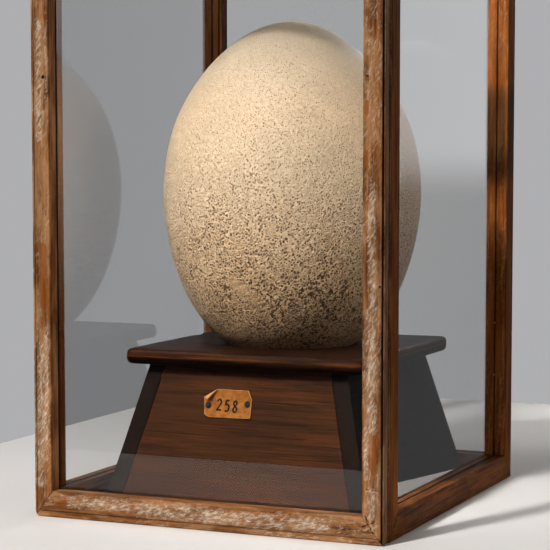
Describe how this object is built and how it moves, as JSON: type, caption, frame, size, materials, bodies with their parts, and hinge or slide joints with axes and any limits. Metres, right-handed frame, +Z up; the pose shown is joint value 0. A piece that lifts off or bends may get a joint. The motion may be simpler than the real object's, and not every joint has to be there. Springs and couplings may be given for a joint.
{
  "type": "elephant bird egg",
  "caption": "Whole elephant bird egg standing in the round seat of a dark wooden stand with a paper tag, inside a small glazed wooden table case.",
  "frame": {"origin": "middle of the case's underside", "axes": "+Z up, +X to the right when the case is seen from its front, -Y out of the front face, where the tag is"},
  "size_m": [0.325, 0.36, 0.556],
  "materials": {
    "eggshell": "pitted and matte, worn smooth near the top",
    "dark_wood": "dark stained and waxed, worn at the edges",
    "case_wood": "old varnish, scuffed and dented",
    "floor_wood": "dull dark brown",
    "tag_paper": "yellowed paper",
    "tack_steel": "blackened",
    "glass": "clear"
  },
  "bodies": {
    "root": {"egg": "eggshell", "stand_slab": "dark_wood", "stand_board_front": "dark_wood", "stand_board_back": "dark_wood", "stand_board_left": "dark_wood", "stand_board_right": "dark_wood", "tag_paper": "tag_paper", "tack_left": "tack_steel", "tack_right": "tack_steel", "front_stile_left": "case_wood", "front_stile_right": "case_wood", "front_rail_bottom": "case_wood", "front_rail_top": "case_wood", "left_stile_front": "case_wood", "left_stile_back": "case_wood", "left_rail_bottom": "case_wood", "left_rail_top": "case_wood", "right_stile_front": "case_wood", "right_stile_back": "case_wood", "right_rail_bottom": "case_wood", "right_rail_top": "case_wood", "back_rail_bottom": "case_wood", "back_rail_top": "case_wood", "back_fillet_left": "case_wood", "back_fillet_right": "case_wood", "case_floor": "floor_wood", "glass_front": "glass", "glass_back": "glass", "glass_left": "glass", "glass_right": "glass", "glass_top": "glass"}
  },
  "joints": []
}
